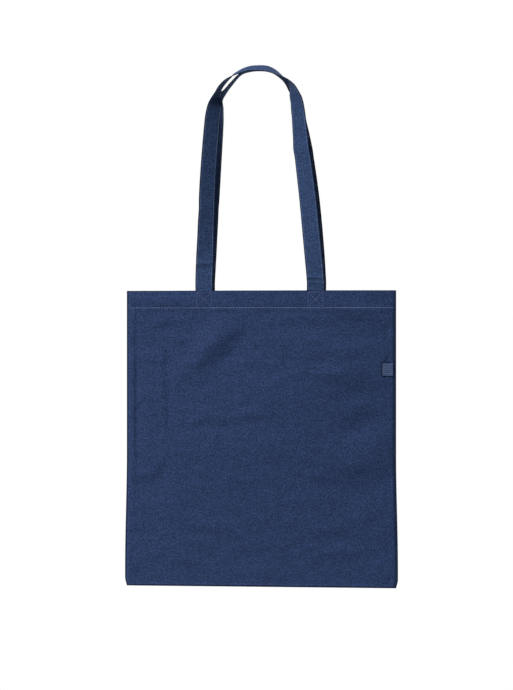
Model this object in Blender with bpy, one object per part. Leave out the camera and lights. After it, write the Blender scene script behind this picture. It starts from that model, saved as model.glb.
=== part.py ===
"""A flat non-woven tote bag, hanging by its two long handles.

The body is one sheet of fabric. It is folded up at the bottom, sewn at both sides with the
seam allowance turned to the inside, and folded inwards round the mouth as a hem. Each handle
is a folded strip whose two ends are sewn to the inner face of the hem. A small folded ribbon
is caught in one side seam.

Units are metres, +Z is up and the front panel faces -Y. The origin is the underside of the
handles at their highest point, where the bag hangs on a hook.
"""
import math

import bmesh
import bpy
from mathutils import Vector

# Fabric
FABRIC = 0.0005              # thickness of one layer
LAYER_GAP = 0.0003           # air between two layers or pieces that lie on each other

# Bag body
BAG_WIDTH = 0.380
BAG_HEIGHT = 0.417
MOUTH_DEPTH = 0.013          # how far the two hems stand apart at their middle
BELLY_DEPTH = 0.020          # how far the panels bulge beyond that at half height
PANEL_CURVE = 2.4            # power of the panels' curve across: 2 is round, 4 is flat
BELLY_RISE = 0.50            # the belly grows up to this share of the height
BELLY_FALL = 0.45            # and fades from this share up to the mouth
BELLY_POWER = 0.6            # below 1 the belly fills out sooner above the bottom
FOLD_INNER_RADIUS = 0.0009   # inside of the side edges and of the bottom fold
BOTTOM_FLARE = 0.0026        # the side edges stand out this much low down
FLARE_SHARE = 0.45           # the flare starts at this share of the height
FLARE_FULL = 0.06            # and is full below this share
CORNER_TUCK = 0.0024         # the bottom corners draw in this much
CORNER_RISE = 0.015          # over this height

# Hem and side seams
HEM_DEPTH = 0.027
HEM_STITCH_DROP = 0.0242     # from the top edge down to the hem's line of stitches
STITCH_DIP = 0.0003          # how deep the stitches pull the fabric in
STITCH_SPREAD = 0.0022       # half the height of that dip
STITCH_FALL = 3.0            # how quickly the dip fades away from the stitches
SEAM_SETBACK = 0.0036        # from the bag's edge to the side seam
SEAM_GROOVE_WIDTH = 0.0014
SEAM_GROOVE_DEPTH = 0.00025
SEAM_GROOVE_FLOOR = 0.25     # share of the groove's width that its floor takes up
SEAM_ALLOWANCE = 0.010       # the turned-in edge inside
ALLOWANCE_ROOT = 0.0010      # how far its root reaches past the seam
ALLOWANCE_TAPER = 0.006      # its ends slope off over this height

# Handles
STRAP_WIDTH = 0.0245
STRAP_THICKNESS = 0.0014
STRAP_NOSE = 0.45            # length of the strap's rounded edge by its half thickness
STRAP_TAIL = 0.0245          # sewn length below the top edge
HANDLE_SPACING = 0.157       # between the middles of one handle's two ends
HANDLE_SHIFT = 0.001         # the front handle sits this far left, the back one right
HANDLE_RISE = 0.311          # from the top edge to the underside at the hook
HOOK_GAP = 0.0009            # between the two straps where they lie side by side

# Ribbon in the side seam
RIBBON_LENGTH = 0.0160
RIBBON_HEIGHT = 0.018
RIBBON_DROP = 0.1107         # from the top edge to the ribbon's middle
RIBBON_LAYER = 0.00035
RIBBON_TUCK = 0.0006         # the ribbon ends this far short of the seam's middle

# Mesh fineness
PANEL_COLUMNS = 12
BODY_ROWS = 13
CORNER_ROWS = (0.0, 0.35, 0.75)     # rows at the corners as shares of CORNER_RISE
EVEN_ROWS_START = 1.3        # the even rows start at this share of CORNER_RISE
EVEN_COLUMNS_SETBACK = 0.016        # the even columns end this far inside the seam
STRAP_STEPS = 4              # rows of the strap between two stops of its route
RIBBON_SPANS = 4             # faces of the ribbon along and across
SLOPE_STEP = 0.001           # distance over which a panel's slope is taken
FOLD_ANGLES = (22.0, 55.0)   # rows round the bottom fold, in degrees
ROUND_ANGLES = (45.0, 90.0, 135.0)  # corners round a rounded edge, in degrees

# Places worked out from the sizes above
FOLD_RADIUS = FOLD_INNER_RADIUS + 2 * FABRIC + LAYER_GAP
TOP_Z = -HANDLE_RISE
BOTTOM_Z = TOP_Z - BAG_HEIGHT
FLAP_INSET = 2 * FABRIC + LAYER_GAP
HOOK_OFFSET = (STRAP_WIDTH + HOOK_GAP) / 2

# The waves fade out over these shares of the half width at the sides, of the height at the
# bottom, and between these two shares of the height at the hem
WAVE_SIDE_FADE = 0.12
WAVE_FOOT_FADE = 0.15
WAVE_HEAD_FADE = (0.88, 0.94)

# Soft waves of a panel: across and down from the middle of the top edge as shares of the
# half width and the height, long and short half lengths and height in metres, tilt in degrees
FRONT_WAVES = (
    (-0.41, 0.20, 0.050, 0.016, 0.0026, 58.0),
    (0.22, 0.33, 0.085, 0.034, 0.0022, 12.0),
    (0.66, 0.50, 0.045, 0.060, -0.0022, 0.0),
    (0.48, 0.62, 0.060, 0.020, -0.0020, -12.0),
    (-0.84, 0.47, 0.075, 0.010, 0.0016, 90.0),
    (-0.25, 0.52, 0.080, 0.022, 0.0012, 4.0),
)
BACK_WAVES = (
    (0.35, 0.24, 0.055, 0.020, 0.0024, -55.0),
    (-0.30, 0.46, 0.085, 0.030, -0.0020, 8.0),
    (0.55, 0.66, 0.060, 0.024, 0.0018, 15.0),
    (-0.78, 0.70, 0.070, 0.014, 0.0016, 90.0),
)

# Route of a handle from its left end over the hook to its right end. Each stop gives its
# place across and up as shares of the half spacing and of the rise, its share of the way
# from the hem's depth to the hook's, and how far the strap is turned edge-on, in degrees
FRONT_ROUTE = (
    (-1.000, 0.045, 0.00, 0.0),
    (-0.975, 0.227, 0.20, 24.0),
    (-0.935, 0.496, 0.45, 32.0),
    (-0.852, 0.766, 0.72, 35.0),
    (-0.815, 0.822, 0.79, 40.0),
    (-0.786, 0.854, 0.85, 56.0),
    (-0.758, 0.882, 0.91, 75.0),
    (-0.720, 0.909, 0.97, 85.0),
    (-0.628, 0.938, 1.00, 91.0),
    (-0.530, 0.958, 1.00, 96.0),
    (-0.440, 0.975, 1.00, 101.0),
    (-0.220, 0.996, 1.00, 108.0),
    (-0.010, 0.999, 1.00, 110.0),
    (0.126, 0.995, 1.00, 109.0),
    (0.265, 0.980, 1.00, 105.0),
    (0.404, 0.957, 1.00, 97.0),
    (0.520, 0.932, 1.00, 87.0),
    (0.592, 0.911, 0.98, 77.0),
    (0.618, 0.897, 0.96, 68.0),
    (0.635, 0.881, 0.94, 57.0),
    (0.646, 0.862, 0.92, 49.0),
    (0.682, 0.800, 0.87, 40.0),
    (0.735, 0.660, 0.72, 28.0),
    (0.850, 0.427, 0.45, 14.0),
    (0.940, 0.200, 0.20, 7.0),
    (1.000, 0.045, 0.00, 0.0),
)
BACK_ROUTE = (
    (-1.000, 0.045, 0.00, 0.0),
    (-0.952, 0.227, 0.20, 25.0),
    (-0.885, 0.496, 0.45, 32.0),
    (-0.822, 0.766, 0.72, 35.0),
    (-0.812, 0.832, 0.80, 42.0),
    (-0.775, 0.873, 0.90, 64.0),
    (-0.672, 0.901, 0.96, 85.0),
    (-0.545, 0.940, 1.00, 90.0),
    (-0.370, 0.985, 1.00, 94.0),
    (-0.200, 0.998, 1.00, 96.0),
    (-0.010, 1.000, 1.00, 97.0),
    (0.126, 0.996, 1.00, 96.0),
    (0.232, 0.986, 1.00, 94.0),
    (0.366, 0.964, 1.00, 89.0),
    (0.450, 0.946, 1.00, 80.0),
    (0.545, 0.916, 0.97, 64.0),
    (0.606, 0.874, 0.93, 54.0),
    (0.655, 0.804, 0.87, 42.0),
    (0.762, 0.660, 0.72, 28.0),
    (0.885, 0.427, 0.45, 14.0),
    (0.965, 0.200, 0.20, 7.0),
    (1.000, 0.045, 0.00, 0.0),
)


def clear_objects():
    """Removes whatever the file holds."""
    for thing in list(bpy.data.objects):
        bpy.data.objects.remove(thing, do_unlink=True)


def fabric_material(name, colour, roughness):
    """A plain cloth finish."""
    made = bpy.data.materials.new(name)
    made.use_nodes = True
    made.diffuse_color = (*colour, 1.0)
    shader = made.node_tree.nodes["Principled BSDF"]
    shader.inputs["Base Color"].default_value = (*colour, 1.0)
    shader.inputs["Roughness"].default_value = roughness
    shader.inputs["Metallic"].default_value = 0.0
    return made


def add_object(name, mesh_data, finish):
    """Turns finished mesh data into a named object in the scene."""
    bmesh.ops.recalc_face_normals(mesh_data, faces=mesh_data.faces)
    mesh = bpy.data.meshes.new(name)
    mesh_data.to_mesh(mesh)
    mesh_data.free()
    mesh.materials.append(finish)
    made = bpy.data.objects.new(name, mesh)
    bpy.context.scene.collection.objects.link(made)
    return made


def ease(low, high, value):
    """0 below low, 1 above high, and a smooth rise between them."""
    share = min(max((value - low) / (high - low), 0.0), 1.0)
    return share * share * (3.0 - 2.0 * share)


def join_rows(mesh_data, first, second):
    """A closed band of faces between two rings of corners."""
    count = len(first)
    for i in range(count):
        k = (i + 1) % count
        mesh_data.faces.new((first[i], first[k], second[k], second[i]))


# Form of the bag body

def half_width(z):
    """Half the bag's width at a height: flared low down, tucked in at the corners."""
    share = (z - BOTTOM_Z) / BAG_HEIGHT
    flare = BOTTOM_FLARE * (1.0 - ease(FLARE_FULL, FLARE_SHARE, share))
    tuck = CORNER_TUCK * (1.0 - ease(0.0, CORNER_RISE, z - BOTTOM_Z)) ** 2
    return BAG_WIDTH / 2 + flare - tuck


def bulge(z):
    """How far the middle of a panel stands out beyond its side edges: it opens in a V from
    the bottom fold, is fullest at half height and comes in again to a straight hem."""
    share = min(max((z - BOTTOM_Z) / BAG_HEIGHT, 0.0), 1.0)
    fullness = ease(0.0, BELLY_RISE, share) ** BELLY_POWER
    belly = fullness * (1.0 - ease(BELLY_FALL, 1.0, share))
    return MOUTH_DEPTH / 2 * share + BELLY_DEPTH / 2 * belly


def wave_height(side, x, z):
    """Height of the soft waves of one panel, fading out at the hem, sides and bottom."""
    waves = FRONT_WAVES if side < 0 else BACK_WAVES
    total = 0.0
    for across, down, long_half, short_half, height, tilt in waves:
        from_x = x - across * BAG_WIDTH / 2
        from_z = z - (TOP_Z - down * BAG_HEIGHT)
        angle = math.radians(tilt)
        along = from_x * math.cos(angle) + from_z * math.sin(angle)
        over = from_z * math.cos(angle) - from_x * math.sin(angle)
        total += height * math.exp(-(along / long_half) ** 2 - (over / short_half) ** 2)
    edge = 1.0 - abs(x) / (half_width(z) - FOLD_RADIUS)
    share = (z - BOTTOM_Z) / BAG_HEIGHT
    fade = ease(0.0, WAVE_SIDE_FADE, edge) * ease(0.0, WAVE_FOOT_FADE, share)
    return total * fade * (1.0 - ease(*WAVE_HEAD_FADE, share))


def panel_y(side, x, z, inset=0.0, plain=False):
    """Depth of a panel's surface: side is -1 at the front, 1 at the back. A plain surface
    has neither the stitches' dip nor the soft waves."""
    reach = half_width(z) - FOLD_RADIUS
    share = min(abs(x) / reach, 1.0)
    depth = FOLD_RADIUS - inset + bulge(z) * (1.0 - share ** PANEL_CURVE)
    if not plain:
        from_stitch = (z - TOP_Z + HEM_STITCH_DROP) / STITCH_SPREAD
        dip = STITCH_DIP * math.exp(-STITCH_FALL * from_stitch ** 2)
        depth += wave_height(side, x, z) - dip
    return side * depth


def panel_slope(side, x, z):
    """Turn of a panel about the vertical at a place, in radians."""
    near = panel_y(side, x - SLOPE_STEP, z, plain=True)
    far = panel_y(side, x + SLOPE_STEP, z, plain=True)
    return math.atan2(far - near, 2 * SLOPE_STEP)


def seam_columns(z):
    """The four places across that make up the side seam on the +X side."""
    seam = half_width(z) - SEAM_SETBACK
    rim = SEAM_GROOVE_WIDTH / 2
    floor = rim * SEAM_GROOVE_FLOOR
    return (seam - rim, seam - floor, seam + floor, seam + rim)


def front_columns(z):
    """Places across one panel, from its left edge to its right."""
    reach = half_width(z) - FOLD_RADIUS
    seam = seam_columns(z)
    inner = seam[0] - EVEN_COLUMNS_SETBACK
    middle = [inner * (2 * i / PANEL_COLUMNS - 1) for i in range(PANEL_COLUMNS + 1)]
    left = [-x for x in reversed(seam)]
    return [-reach, *left, *middle, *seam, reach]


def panel_points(side, z, inset, allowance, squeeze):
    """One panel's corners at one height, from the bag's left for the front panel and from
    its right for the back. The seam is near the end of the row on both panels."""
    places = front_columns(z)
    points = [(x, panel_y(side, -side * x, z, inset) * squeeze) for x in places]
    first = len(places) - 1 - len(seam_columns(z))
    if inset == 0.0:
        for i in (first + 1, first + 2):
            x, y = points[i]
            points[i] = (x, y - side * SEAM_GROOVE_DEPTH)
    if allowance > 0.0:
        seam = half_width(z) - SEAM_SETBACK
        tip = seam - SEAM_ALLOWANCE
        root = points[first][1]
        near = (points[first + 1][0], root)
        far = (points[first + 2][0], root)
        points[first + 1] = blend_point(near, (tip, side * FABRIC), allowance)
        points[first + 2] = blend_point(far, (tip, -side * FABRIC), allowance)
        past = seam + ALLOWANCE_ROOT
        wide = (past, panel_y(side, past, z, inset) * squeeze)
        points[first + 3] = blend_point(points[first + 3], wide, allowance)
    return [(x * -side, y) for x, y in points]


def blend_point(start, end, share):
    """A point on the way from start to end."""
    return (start[0] + (end[0] - start[0]) * share, start[1] + (end[1] - start[1]) * share)


def section_ring(mesh_data, z, inset=0.0, allowance=0.0, squeeze=1.0):
    """One closed row of corners round the bag."""
    points = []
    for side in (-1, 1):
        points += panel_points(side, z, inset, allowance, squeeze)
        radius = FOLD_RADIUS - inset
        centre = half_width(z) - FOLD_RADIUS
        for angle in ROUND_ANGLES:
            out = centre + radius * math.sin(math.radians(angle))
            y = side * radius * math.cos(math.radians(angle)) * squeeze
            points.append((out * -side, y))
    return [mesh_data.verts.new((x, y, z)) for x, y in points]


def allowance_share(z):
    """How much of the turned-in seam edge there is at a height."""
    from_bottom = z - BOTTOM_Z - FOLD_RADIUS
    from_hem = TOP_Z - HEM_DEPTH - ALLOWANCE_TAPER / 2 - z
    return ease(0.0, ALLOWANCE_TAPER, from_bottom) * ease(0.0, ALLOWANCE_TAPER, from_hem)


def body_heights():
    """Heights of the rows up a panel, closer together at the corners and at the hem."""
    low = BOTTOM_Z + FOLD_RADIUS
    high = TOP_Z - HEM_DEPTH - 2 * ALLOWANCE_TAPER
    corner = [low + CORNER_RISE * share for share in CORNER_ROWS]
    start = low + CORNER_RISE * EVEN_ROWS_START
    even = [start + (high - start) * i / BODY_ROWS for i in range(BODY_ROWS + 1)]
    hem_edge = TOP_Z - HEM_DEPTH - ALLOWANCE_TAPER / 2
    return corner + even + [hem_edge - ALLOWANCE_TAPER / 2, hem_edge]


def hem_heights():
    """Heights of the rows between the hem's edge and the top edge."""
    stitch = TOP_Z - HEM_STITCH_DROP
    rim = TOP_Z - FLAP_INSET / 2
    return [stitch - STITCH_SPREAD * 0.5, stitch, stitch + STITCH_SPREAD,
            (stitch + rim) / 2, rim]


def close_bottom(mesh_data, ring):
    """A narrow strip that joins the front half of a ring to its back half."""
    half = len(ring) // 2
    front = [ring[(i - 2) % len(ring)] for i in range(half + 1)]
    back = [ring[(-2 - i) % len(ring)] for i in range(half + 1)]
    mesh_data.faces.new((front[0], front[1], back[1]))
    for i in range(1, half - 1):
        mesh_data.faces.new((front[i], front[i + 1], back[i + 1], back[i]))
    mesh_data.faces.new((front[-2], front[-1], back[-2]))


def build_body(finish):
    """The folded, hemmed and sewn sheet, as one closed wall with an open mouth."""
    mesh_data = bmesh.new()
    rings = []
    for angle in FOLD_ANGLES:
        turn = math.radians(angle)
        z = BOTTOM_Z + FOLD_RADIUS * (1.0 - math.cos(turn))
        rings.append(section_ring(mesh_data, z, 0.0, 0.0, math.sin(turn)))
    for z in body_heights() + hem_heights():
        rings.append(section_ring(mesh_data, z))
    lip = FLAP_INSET / 2
    for angle in ROUND_ANGLES:
        turn = math.radians(angle)
        z = TOP_Z - lip + lip * math.sin(turn)
        rings.append(section_ring(mesh_data, z, lip * (1.0 - math.cos(turn))))
    for z in reversed(hem_heights()):
        rings.append(section_ring(mesh_data, z, FLAP_INSET))
    edge = TOP_Z - HEM_DEPTH
    pocket_side = FABRIC + LAYER_GAP
    pocket_top = TOP_Z - lip - FABRIC
    rings.append(section_ring(mesh_data, edge, FLAP_INSET))
    rings.append(section_ring(mesh_data, edge, pocket_side))
    for z in hem_heights()[:-1] + [pocket_top]:
        rings.append(section_ring(mesh_data, z, pocket_side))
    for z in [pocket_top] + list(reversed(hem_heights()[:-1])):
        rings.append(section_ring(mesh_data, z, FABRIC))
    for z in reversed(body_heights()):
        rings.append(section_ring(mesh_data, z, FABRIC, allowance_share(z)))
    for angle in reversed(FOLD_ANGLES):
        turn = math.radians(angle)
        z = BOTTOM_Z + FABRIC + (FOLD_RADIUS - FABRIC) * (1.0 - math.cos(turn))
        rings.append(section_ring(mesh_data, z, FABRIC, 0.0, math.sin(turn)))
    for first, second in zip(rings, rings[1:]):
        join_rows(mesh_data, first, second)
    close_bottom(mesh_data, rings[0])
    close_bottom(mesh_data, rings[-1])
    return add_object("bag_body", mesh_data, finish)


# Form of the handles

def smooth_path(stops, steps):
    """Places on a smooth curve through the stops, each with the curve's direction there."""
    lengths = [(far - near).to_3d().length for near, far in zip(stops, stops[1:])]
    rates = [(stops[1] - stops[0]) / lengths[0]]
    for i in range(1, len(stops) - 1):
        rates.append((stops[i + 1] - stops[i - 1]) / (lengths[i - 1] + lengths[i]))
    rates.append((stops[-1] - stops[-2]) / lengths[-1])
    places = []
    for i, length in enumerate(lengths):
        near, far = stops[i], stops[i + 1]
        start, end = rates[i] * length, rates[i + 1] * length
        for step in range(steps):
            t = step / steps
            place = (near * (1 + 2 * t) * (1 - t) ** 2 + start * t * (1 - t) ** 2
                     + far * t * t * (3 - 2 * t) + end * t * t * (t - 1))
            slope = ((far - near) * 6 * t * (1 - t) + start * (1 - t) * (1 - 3 * t)
                     + end * t * (3 * t - 2))
            places.append((place, slope))
    places.append((stops[-1], rates[-1]))
    return places


def strap_depth(side, x, z):
    """Depth of the middle of a strap that lies on the inner face of the hem."""
    inset = FLAP_INSET + STITCH_DIP + LAYER_GAP + STRAP_THICKNESS / 2
    return panel_y(side, x, z, inset, plain=True)


def handle_stops(side, route):
    """Middle line and turn of a handle as four-number stops: x, y, z and turn."""
    stops = []
    middle_z = STRAP_THICKNESS / 2
    for across, up, share, turn in route:
        x = side * HANDLE_SHIFT * (1.0 - share) + across * HANDLE_SPACING / 2
        foot_x = side * HANDLE_SHIFT + math.copysign(HANDLE_SPACING / 2, across)
        start = strap_depth(side, foot_x, TOP_Z)
        y = start + (side * HOOK_OFFSET - start) * share
        z = TOP_Z + (HANDLE_RISE + middle_z) * up
        stops.append(Vector((x, y, z, math.radians(turn))))
    for end, near in ((0, 1), (-1, 0)):
        lip = stops[end].copy()
        lip[2] = TOP_Z
        lip[3] = panel_slope(side, lip[0], TOP_Z) * -math.copysign(1.0, lip[0])
        stops[end][3] = lip[3]
        foot = lip.copy()
        foot[2] = TOP_Z - STRAP_TAIL
        foot[1] = strap_depth(side, foot[0], foot[2])
        if near == 1:
            stops = [foot, lip, *stops]
        else:
            stops = [*stops, lip, foot]
    return stops


def strap_section():
    """Outline of the folded strip: flat, with edges rounded by the folds."""
    half = STRAP_WIDTH / 2
    thick = STRAP_THICKNESS / 2
    nose = thick * STRAP_NOSE
    return ((-half, 0.0), (-half + nose, thick), (-half / 3, thick), (half / 3, thick),
            (half - nose, thick), (half, 0.0), (half - nose, -thick), (half / 3, -thick),
            (-half / 3, -thick), (-half + nose, -thick))


def build_handle(name, side, route, finish):
    """A strap that follows its route and turns edge-on over the hook."""
    mesh_data = bmesh.new()
    rings = []
    for place, slope in smooth_path(handle_stops(side, route), STRAP_STEPS):
        along = Vector(slope[:3]).normalized()
        outward = along.cross(Vector((0.0, 1.0, 0.0))).normalized()
        forward = along.cross(outward)
        turn = place[3]
        width_way = outward * math.cos(turn) + forward * math.sin(turn)
        thick_way = along.cross(width_way)
        centre = Vector(place[:3])
        ring = []
        for across, up in strap_section():
            ring.append(mesh_data.verts.new(centre + width_way * across + thick_way * up))
        rings.append(ring)
    for first, second in zip(rings, rings[1:]):
        join_rows(mesh_data, first, second)
    mesh_data.faces.new(rings[0])
    mesh_data.faces.new(rings[-1])
    return add_object(name, mesh_data, finish)


# Form of the ribbon

def ribbon_ring(mesh_data, z, outer):
    """One row of the ribbon's outer or inner outline, which lies on the front panel."""
    seam = half_width(z) - SEAM_SETBACK
    end = seam - RIBBON_TUCK
    tip = end - RIBBON_LENGTH
    back = LAYER_GAP
    face = LAYER_GAP * 2 + RIBBON_LAYER * 2
    shrink = 0.0 if outer else RIBBON_LAYER
    low = back + shrink
    high = face - shrink
    nose = (high - low) / 2
    middle = (low + high) / 2
    outline = []
    start = tip + shrink + nose
    stop = end - shrink
    for i in range(RIBBON_SPANS + 1):
        outline.append((start + (stop - start) * i / RIBBON_SPANS, low))
    for i in range(RIBBON_SPANS + 1):
        outline.append((stop + (start - stop) * i / RIBBON_SPANS, high))
    for angle in ROUND_ANGLES:
        turn = math.radians(angle)
        outline.append((start - nose * math.sin(turn), middle + nose * math.cos(turn)))
    ring = []
    for x, off in outline:
        ring.append(mesh_data.verts.new((x, panel_y(-1, x, z) - off, z)))
    return ring


def build_ribbon(finish):
    """A short ribbon folded in half, with its two ends in the side seam."""
    mesh_data = bmesh.new()
    middle = TOP_Z - RIBBON_DROP
    outer = []
    inner = []
    for i in range(RIBBON_SPANS + 1):
        z = middle + RIBBON_HEIGHT * (i / RIBBON_SPANS - 0.5)
        outer.append(ribbon_ring(mesh_data, z, True))
        inner.append(ribbon_ring(mesh_data, z, False))
    for i in range(RIBBON_SPANS):
        join_rows(mesh_data, outer[i], outer[i + 1])
        join_rows(mesh_data, inner[i], inner[i + 1])
    join_rows(mesh_data, outer[0], inner[0])
    join_rows(mesh_data, outer[-1], inner[-1])
    return add_object("side_label", mesh_data, finish)


def build_bag():
    """The whole bag."""
    clear_objects()
    navy = fabric_material("navy_nonwoven", (0.024, 0.041, 0.102), 0.9)
    strap_navy = fabric_material("navy_strap", (0.030, 0.049, 0.115), 0.88)
    ribbon_blue = fabric_material("blue_ribbon", (0.058, 0.086, 0.160), 0.7)
    build_body(navy)
    build_handle("front_handle", -1, FRONT_ROUTE, strap_navy)
    build_handle("back_handle", 1, BACK_ROUTE, strap_navy)
    build_ribbon(ribbon_blue)


build_bag()
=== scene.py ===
import math

import bmesh
import bpy
from mathutils import Matrix, Vector, noise as random_field


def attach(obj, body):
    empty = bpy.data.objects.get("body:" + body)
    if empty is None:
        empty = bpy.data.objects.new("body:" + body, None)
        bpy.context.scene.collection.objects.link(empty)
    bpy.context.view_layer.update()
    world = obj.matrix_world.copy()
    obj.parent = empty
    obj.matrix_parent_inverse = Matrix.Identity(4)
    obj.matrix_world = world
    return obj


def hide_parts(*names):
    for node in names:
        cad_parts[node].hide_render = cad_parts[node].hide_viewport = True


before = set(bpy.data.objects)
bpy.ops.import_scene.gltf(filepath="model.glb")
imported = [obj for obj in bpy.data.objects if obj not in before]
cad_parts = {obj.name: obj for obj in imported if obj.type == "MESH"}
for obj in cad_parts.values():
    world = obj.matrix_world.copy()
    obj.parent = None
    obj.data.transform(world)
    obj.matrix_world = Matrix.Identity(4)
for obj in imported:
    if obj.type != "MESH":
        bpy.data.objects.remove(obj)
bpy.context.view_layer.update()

# Fabric and body, the same sizes as in the part's source, in metres
FABRIC = 0.0005
BOND_PITCH = 0.0026          # of the points pressed into the fabric
LAYER_GAP = 0.0003
BAG_WIDTH = 0.380
BAG_HEIGHT = 0.417
MOUTH_DEPTH = 0.013
BELLY_DEPTH = 0.020
PANEL_CURVE = 2.4
FOLD_RADIUS = 0.0009 + 2 * FABRIC + LAYER_GAP
BOTTOM_FLARE = 0.0026
FLARE_SHARE = 0.45
CORNER_TUCK = 0.0024
CORNER_RISE = 0.015
HEM_DEPTH = 0.027
HEM_STITCH_DROP = 0.0242
STITCH_DIP = 0.0003
STITCH_SPREAD = 0.0022
SEAM_SETBACK = 0.0036
SEAM_ALLOWANCE = 0.010
EDGE_PRESS = 0.0009          # the strip outside the side seam is this much flatter
PRESS_LEAD = 0.0006          # and starts to flatten this far before the seam
GROOVE_DEPTH = 0.0007
GROOVE_HALF = 0.0008
EDGE_SHARE = 0.999           # the last column of a panel, as a share of its half width
RIM_SHARE = 0.955            # from here on its columns are close together
FOOT_BAND = 0.016            # the rows are closer in this much of the foot
STITCH_BAND = 0.012          # and in this much below the hem's stitches
ALLOWANCE_FOOT = 0.006       # the seam allowances start this far above the bottom
ALLOWANCE_HEAD = 0.004       # and end this far below the hem
ALLOWANCE_GAP = 0.0004
FLAP_INSET = 2 * FABRIC + LAYER_GAP
HANDLE_RISE = 0.311
TOP_Z = -HANDLE_RISE
BOTTOM_Z = TOP_Z - BAG_HEIGHT

# Handles
STRAP_WIDTH = 0.0245
STRAP_THICKNESS = 0.0014
STRAP_TAIL = 0.0245
HANDLE_SPACING = 0.157
HANDLE_SHIFT = 0.001
HOOK_GAP = 0.0009
HOOK_OFFSET = (STRAP_WIDTH + HOOK_GAP) / 2
STRAP_PITCH = 0.0017         # distance between the strap's rows
FINE_PITCH = 0.0007          # the same near its ends, where the dents are narrow
FINE_LENGTH = 0.070          # how far up from the top edge those rows reach
STRAP_LAYER = 0.00030        # one of the four layers of the folded strip
LAYER_PITCH = 0.00035
EDGE_STITCH_INSET = 0.0019
STRAP_EDGE = 0.0004          # what is this near to a strap's side counts as its edge
PUFF_HEIGHT = 0.00012        # the strap's layers puff up between its stitches by this much
PUFF_INSET = 0.003           # and start to do so this far from its sides
PULL_DEPTH = 0.00012         # the stitches pull the layers in by this much
PULL_HALF = 0.0011

# Ribbon in the side seam
RIBBON_LENGTH = 0.0160
RIBBON_HEIGHT = 0.018
RIBBON_DROP = 0.1107
RIBBON_LAYER = 0.00035
RIBBON_TUCK = 0.0006
RIBBON_DENT = 0.0015         # the panel is drawn in this much under the ribbon
BED_EDGE = 0.0004            # that dent starts this far inside the ribbon's outline
BED_FADE = 0.0022            # and ends this far outside it
BED_MARGIN = 0.004           # the rows are closer as far as this past the ribbon
RIBBON_SPREAD = 0.0006       # how much further apart its layers are at the fold
RIBBON_LIFT = 0.0005         # how far it stands off the panel at the fold
RIBBON_NOSE = 0.0007         # length of the rounded fold
RIBS = 19
RIB_HEIGHT = 0.00006

# Painted shade and highlight along an outer edge, where the cloth turns away from the light: how
# near to the edge and how light, from inside outwards
EDGE_SHADE_TONES = ((0.20, 0.80), (0.34, 0.97), (0.52, 0.97), (0.59, 0.45), (1.0, 0.38))
EDGE_SHADE_GAIN = 1 / EDGE_SHADE_TONES[0][1]
EDGE_SHADE_WIDTH = 0.0088           # cloth this near to an outer edge gets the painted shade
MOUTH_EDGE_SHADE = 2.2              # how many times narrower that painted edge shade is at the mouth
STRAP_EDGE_SHADE = 3.4              # and at a strap's edges

# Sewing thread: pitch, length and width of the stitches
HEM_STITCH = (0.0041, 0.0037, 0.00068)
BOX_STITCH = (0.0034, 0.0028, 0.00055)
STRAP_STITCH = (0.0036, 0.0029, 0.00050)
PANEL_LIFT = 0.00010         # how far the middle of a thread lies off the panel
STRAP_LIFT = 0.00004         # and off a strap
BOX_DROP = 0.0022            # a box starts this far below the top edge
BOX_GAP = 0.0008             # and ends this far above the hem's stitches
STRAP_START = 0.002          # a strap's stitches start this far above the top edge

# Soft waves of a panel: across and down from the middle of the top edge as shares of the
# half width and the height, long and short half lengths and height in metres, tilt in degrees
FRONT_WAVES = (
    (-0.41, 0.20, 0.050, 0.016, 0.0026, 58.0),
    (0.22, 0.33, 0.085, 0.034, 0.0022, 12.0),
    (0.66, 0.50, 0.045, 0.060, -0.0022, 0.0),
    (0.48, 0.62, 0.060, 0.020, -0.0020, -12.0),
    (-0.84, 0.47, 0.075, 0.010, 0.0016, 90.0),
    (-0.25, 0.52, 0.080, 0.022, 0.0012, 4.0),
)
BACK_WAVES = (
    (0.35, 0.24, 0.055, 0.020, 0.0024, -55.0),
    (-0.30, 0.46, 0.085, 0.030, -0.0020, 8.0),
    (0.55, 0.66, 0.060, 0.024, 0.0018, 15.0),
    (-0.78, 0.70, 0.070, 0.014, 0.0016, 90.0),
)
# Small ridges, as places in metres across and down from the middle of the top edge, long and
# short half lengths, height, tilt in degrees
FRONT_RIDGES = (
    (-0.0840, 0.0720, 0.044, 0.0170, 0.00200, 54.0),
    (0.1790, 0.0955, 0.0060, 0.0020, -0.00110, 60.0),
    (0.1740, 0.1270, 0.0080, 0.0022, 0.00080, -20.0),
    (-0.1340, 0.0130, 0.050, 0.0090, 0.00090, 0.0),
    (0.0700, 0.0800, 0.060, 0.0260, 0.00180, 0.0),
)
BACK_RIDGES = (
    (0.0700, 0.0800, 0.040, 0.0140, 0.00210, -50.0),
    (0.1420, 0.190, 0.080, 0.0050, 0.00060, 90.0),
)
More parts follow.
